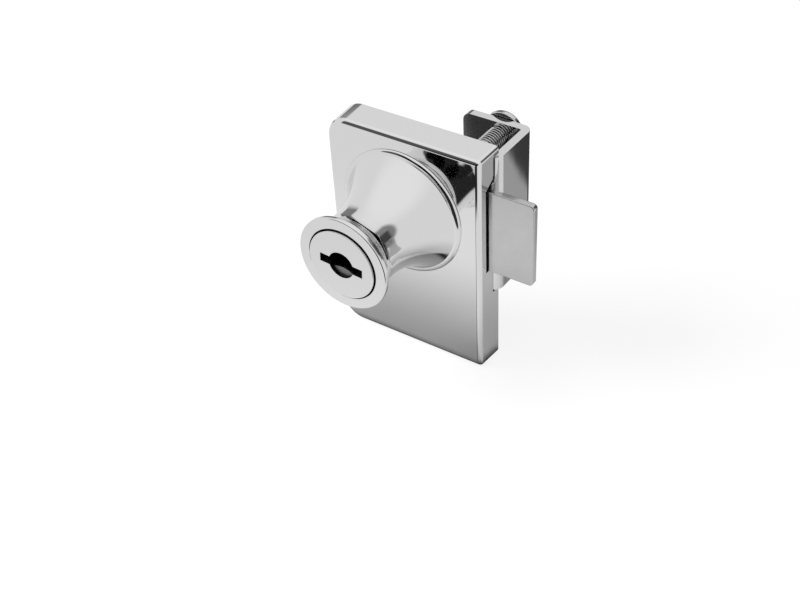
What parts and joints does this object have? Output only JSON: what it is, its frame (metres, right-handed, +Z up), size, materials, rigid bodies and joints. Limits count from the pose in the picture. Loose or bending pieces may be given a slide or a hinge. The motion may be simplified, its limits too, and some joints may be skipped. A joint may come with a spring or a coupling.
{
  "type": "glass door lock",
  "caption": "Clamp-on lock for double glass doors: plate with a trumpet knob that holds a key cylinder, flat sliding bolt and a folded bracket that grips the glass.",
  "frame": {"origin": "on the key cylinder's axis, in the plane where the lock seats on the glass", "axes": "+X towards the bolt's nose, +Y into the door, away from the knob, +Z up"},
  "size_m": [0.0546, 0.0486, 0.0607],
  "materials": {
    "cover_chrome": "polished chrome plate on a zinc casting",
    "plug_chrome": "polished chrome plate",
    "bracket_plate": "polished plate on folded steel sheet",
    "bolt_steel": "satin plated steel",
    "barrel_zinc": "bare zinc casting",
    "cam_steel": "bare zinc casting",
    "screw_steel": "bright zinc plated steel",
    "spring_steel": "oiled spring steel",
    "shutter_steel": "matt grained steel",
    "wafer_brass": "stamped brass",
    "cap_plastic": "matt black"
  },
  "bodies": {
    "housing": {"cover": "cover_chrome", "cylinder_barrel": "barrel_zinc", "barrel_circlip": "spring_steel", "bracket": "bracket_plate", "bracket_screw_1": "screw_steel", "bracket_screw_2": "screw_steel", "bracket_screw_3": "screw_steel", "bracket_screw_4": "screw_steel"},
    "plug": {"plug": "plug_chrome", "drive_cam": "cam_steel", "cam_clip": "spring_steel", "shutter_pin": "screw_steel", "shutter_spring": "spring_steel", "wafer_spring_1": "spring_steel", "wafer_spring_2": "spring_steel", "wafer_spring_3": "spring_steel", "wafer_spring_4": "spring_steel", "wafer_spring_5": "spring_steel"},
    "wafer_1": {"wafer_1": "wafer_brass"},
    "wafer_2": {"wafer_2": "wafer_brass"},
    "wafer_3": {"wafer_3": "wafer_brass"},
    "wafer_4": {"wafer_4": "wafer_brass"},
    "wafer_5": {"wafer_5": "wafer_brass"},
    "shutter": {"dust_shutter": "shutter_steel"},
    "bolt": {"bolt": "bolt_steel"},
    "cap_upper": {"pressure_cap_upper": "cap_plastic"},
    "cap_lower": {"pressure_cap_lower": "cap_plastic"},
    "screw_upper": {"clamp_screw_upper": "screw_steel"},
    "screw_lower": {"clamp_screw_lower": "screw_steel"}
  },
  "joints": [
    {"name": "plug_turn", "type": "hinge", "parent": "housing", "child": "plug", "pos_m": [0, -0.02, 0], "axis": [0, 1, 0], "range_deg": [0, 180]},
    {"name": "bolt_slide", "type": "slide", "parent": "housing", "child": "bolt", "axis": [1, 0, 0], "range_m": [-0.011, 0]},
    {"name": "wafer_1_slide", "type": "slide", "parent": "plug", "child": "wafer_1", "axis": [0.9976, 0, -0.0698], "range_m": [0, 0.0008], "stiffness_N_per_m": 40, "springref_m": 0.0014, "deforming": ["wafer_spring_1"]},
    {"name": "wafer_2_slide", "type": "slide", "parent": "plug", "child": "wafer_2", "axis": [-0.9976, 0, 0.0698], "range_m": [0, 0.0008], "stiffness_N_per_m": 40, "springref_m": 0.0014, "deforming": ["wafer_spring_2"]},
    {"name": "wafer_3_slide", "type": "slide", "parent": "plug", "child": "wafer_3", "axis": [0.9976, 0, -0.0698], "range_m": [0, 0.0008], "stiffness_N_per_m": 40, "springref_m": 0.0014, "deforming": ["wafer_spring_3"]},
    {"name": "wafer_4_slide", "type": "slide", "parent": "plug", "child": "wafer_4", "axis": [-0.9976, 0, 0.0698], "range_m": [0, 0.0008], "stiffness_N_per_m": 40, "springref_m": 0.0014, "deforming": ["wafer_spring_4"]},
    {"name": "wafer_5_slide", "type": "slide", "parent": "plug", "child": "wafer_5", "axis": [0.9976, 0, -0.0698], "range_m": [0, 0.0008], "stiffness_N_per_m": 40, "springref_m": 0.0014, "deforming": ["wafer_spring_5"]},
    {"name": "shutter_swing", "type": "hinge", "parent": "plug", "child": "shutter", "pos_m": [-0.00026, -0.03047, -0.00374], "axis": [-0.9976, 0, 0.0698], "range_deg": [0, 75], "stiffness_Nm_per_rad": 0.00005, "springref_deg": -28.65, "deforming": ["shutter_spring"]},
    {"name": "clamp_upper_press", "type": "slide", "parent": "housing", "child": "cap_upper", "axis": [0, 1, 0], "range_m": [0, 0.008]},
    {"name": "clamp_upper_turn", "type": "hinge", "parent": "cap_upper", "child": "screw_upper", "pos_m": [0.01461, 0.015, 0.01475], "axis": [0, 1, 0], "range_deg": [0, 3600]},
    {"name": "clamp_lower_press", "type": "slide", "parent": "housing", "child": "cap_lower", "axis": [0, 1, 0], "range_m": [0, 0.008]},
    {"name": "clamp_lower_turn", "type": "hinge", "parent": "cap_lower", "child": "screw_lower", "pos_m": [0.01461, 0.015, -0.01525], "axis": [0, 1, 0], "range_deg": [0, 3600]}
  ],
  "couplings": [
    {"joint": "plug_turn", "follows": "bolt_slide", "rad_per_m": -285.6},
    {"joint": "clamp_upper_turn", "follows": "clamp_upper_press", "rad_per_m": 7854},
    {"joint": "clamp_lower_turn", "follows": "clamp_lower_press", "rad_per_m": 7854}
  ]
}
